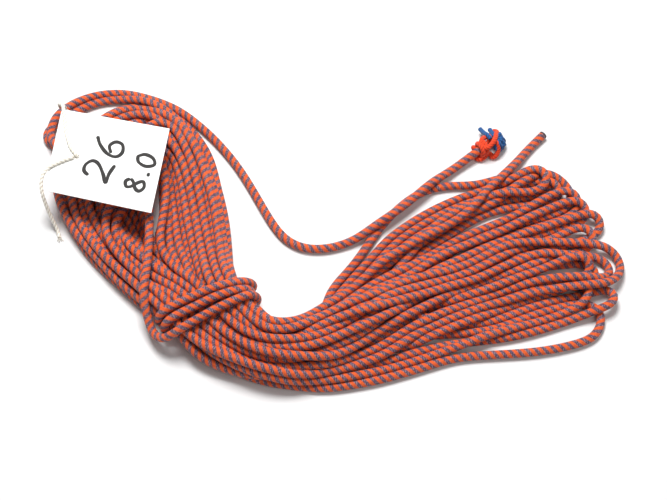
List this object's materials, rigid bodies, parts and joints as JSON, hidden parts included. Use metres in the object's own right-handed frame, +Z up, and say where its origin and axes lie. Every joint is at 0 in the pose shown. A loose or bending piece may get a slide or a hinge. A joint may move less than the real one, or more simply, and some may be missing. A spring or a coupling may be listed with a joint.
{
  "type": "dynamic climbing rope",
  "caption": "Hank of dynamic climbing rope drawn in at a wound waist, with a heat-sealed cut end, a yarn-tied end and a card tag on a string.",
  "frame": {"origin": "middle of the footprint, on the ground that the hank lies on", "axes": "+X along the hank's length from the tagged head to the wide end, +Y away from the front side, +Z up from the ground"},
  "size_m": [0.4987, 0.3059, 0.0464],
  "materials": {
    "rope_sheath": "matte braided sheath, orange and purple-grey",
    "core_yarn": "matte twisted yarn",
    "melted_nylon": "satin, melted",
    "orange_yarn": "soft matte",
    "blue_yarn": "soft matte",
    "card": "smooth matte card",
    "cotton_string": "matte twisted cotton"
  },
  "bodies": {
    "rope": {"hank_loops": "rope_sheath", "waist_wrap": "rope_sheath", "long_tail": "rope_sheath", "short_tail": "rope_sheath", "cut_end_sheath": "rope_sheath", "cut_end_core": "core_yarn", "cut_end_tip": "melted_nylon", "knot_orange_yarn": "orange_yarn", "knot_blue_yarn": "blue_yarn"},
    "tag": {"tag_card": "card", "tag_string_loop": "cotton_string", "tag_string_tail": "cotton_string", "tag_string_knot": "cotton_string"}
  },
  "joints": [
    {"name": "tag_hinge", "type": "hinge", "parent": "rope", "child": "tag", "pos_m": [-0.2346, 0.1278, 0.009], "axis": [-0.7071, -0.7071, 0], "range_deg": [0, 110]}
  ]
}
